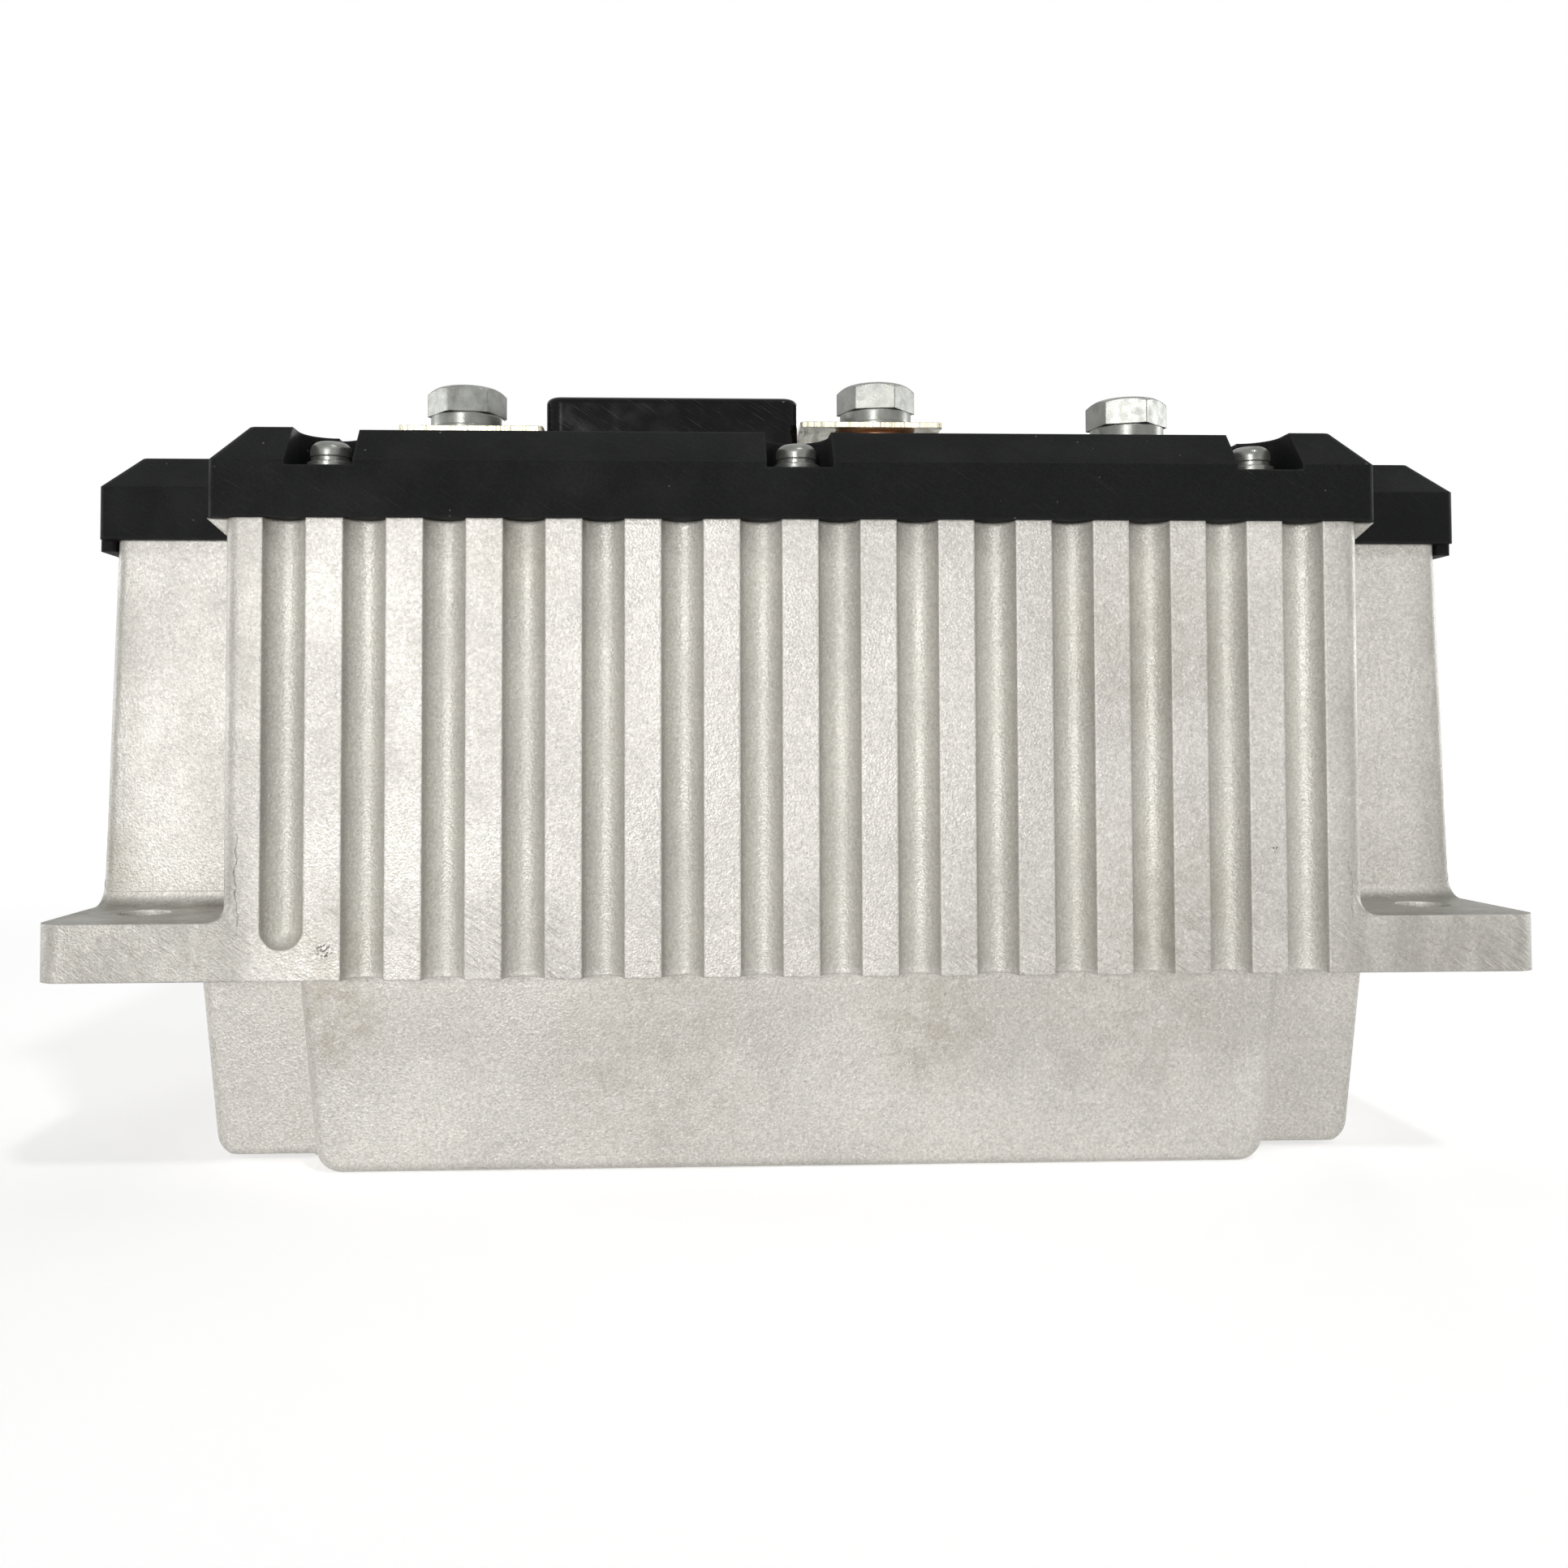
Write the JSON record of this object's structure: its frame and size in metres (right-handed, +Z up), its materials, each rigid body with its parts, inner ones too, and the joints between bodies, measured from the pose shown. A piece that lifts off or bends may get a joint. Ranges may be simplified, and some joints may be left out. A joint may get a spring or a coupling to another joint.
{
  "type": "charge controller",
  "caption": "Sealed charge controller: fluted die-cast housing with mounting ears and a lower tub, black bevelled cover, screw terminals and a signal socket.",
  "frame": {"origin": "centre of the tub's underside, on the surface the part stands on", "axes": "+X along the long side, from the left terminal to the right one; -Y out of the fluted front face; +Z up, out of the cover"},
  "size_m": [0.2524, 0.1716, 0.1432],
  "materials": {
    "cast_aluminium": "bead-blasted die casting",
    "cover_plastic": "moulded, fine spark-eroded texture",
    "seal_rubber": "moulded",
    "zinc_steel": "zinc plated",
    "plate_tin": "tinned copper, sheared edges",
    "post_copper": "bare copper",
    "connector_plastic": "glossy moulding",
    "pin_tin": "tinned",
    "board_laminate": "solder resist",
    "inner_steel": "zinc plated",
    "chip_plastic": "epoxy moulding",
    "pad_silicone": "silicone",
    "can_sleeve": "sleeved can",
    "film_box": "resin box",
    "ferrite": "sintered",
    "winding_copper": "enamelled wire"
  },
  "bodies": {
    "controller": {"board_link": "chip_plastic", "bulk_capacitors": "can_sleeve", "busbar_left": "post_copper", "busbar_middle": "post_copper", "busbar_right": "post_copper", "busbar_screws": "inner_steel", "choke_cores": "ferrite", "choke_cushions": "pad_silicone", "choke_pads": "pad_silicone", "choke_straps": "inner_steel", "choke_windings": "winding_copper", "clamp_bars": "inner_steel", "clamp_screws": "inner_steel", "connector_pins": "pin_tin", "connector_seal": "seal_rubber", "connector_shell": "connector_plastic", "control_board": "board_laminate", "control_board_screws": "inner_steel", "control_board_standoffs": "inner_steel", "cover": "cover_plastic", "cover_gasket": "seal_rubber", "cover_screws": "zinc_steel", "cover_spring_washers": "zinc_steel", "cover_washers": "zinc_steel", "current_sensors": "chip_plastic", "driver_chips": "chip_plastic", "film_capacitors": "film_box", "housing": "cast_aluminium", "insulating_pads": "pad_silicone", "microcontroller": "chip_plastic", "post_left": "post_copper", "post_middle": "post_copper", "post_right": "post_copper", "post_screws": "inner_steel", "post_seals": "seal_rubber", "power_board": "board_laminate", "power_board_screws": "inner_steel", "power_board_standoffs": "inner_steel", "power_transistors": "chip_plastic", "standoff_nuts": "inner_steel", "strap_screws": "inner_steel", "supply_transformer": "chip_plastic", "terminal_plate_left": "plate_tin", "terminal_plate_middle": "plate_tin"},
    "left_washers": {"spring_washer_left": "zinc_steel", "flat_washer_left": "zinc_steel"},
    "left_bolt": {"bolt_left": "zinc_steel"},
    "middle_washers": {"spring_washer_middle": "zinc_steel", "flat_washer_middle": "zinc_steel"},
    "middle_bolt": {"bolt_middle": "zinc_steel"},
    "right_washers": {"spring_washer_right": "zinc_steel", "flat_washer_right": "zinc_steel"},
    "right_bolt": {"bolt_right": "zinc_steel"}
  },
  "joints": [
    {"name": "left_lift", "type": "slide", "parent": "controller", "child": "left_washers", "axis": [0, 0, 1], "range_m": [0, 0.0101]},
    {"name": "left_turn", "type": "hinge", "parent": "left_washers", "child": "left_bolt", "pos_m": [-0.061, -0.046, 0.1368], "axis": [0, 0, 1], "range_deg": [0, 2880]},
    {"name": "middle_lift", "type": "slide", "parent": "controller", "child": "middle_washers", "axis": [0, 0, 1], "range_m": [0, 0.0101]},
    {"name": "middle_turn", "type": "hinge", "parent": "middle_washers", "child": "middle_bolt", "pos_m": [0.018, -0.046, 0.1379], "axis": [0, 0, 1], "range_deg": [0, 2880]},
    {"name": "right_lift", "type": "slide", "parent": "controller", "child": "right_washers", "axis": [0, 0, 1], "range_m": [0, 0.0101]},
    {"name": "right_turn", "type": "hinge", "parent": "right_washers", "child": "right_bolt", "pos_m": [0.0655, -0.052, 0.134], "axis": [0, 0, 1], "range_deg": [0, 2880]}
  ],
  "couplings": [
    {"joint": "left_lift", "follows": "left_turn", "m_per_rad": 0.00019894},
    {"joint": "middle_lift", "follows": "middle_turn", "m_per_rad": 0.00019894},
    {"joint": "right_lift", "follows": "right_turn", "m_per_rad": 0.00019894}
  ]
}
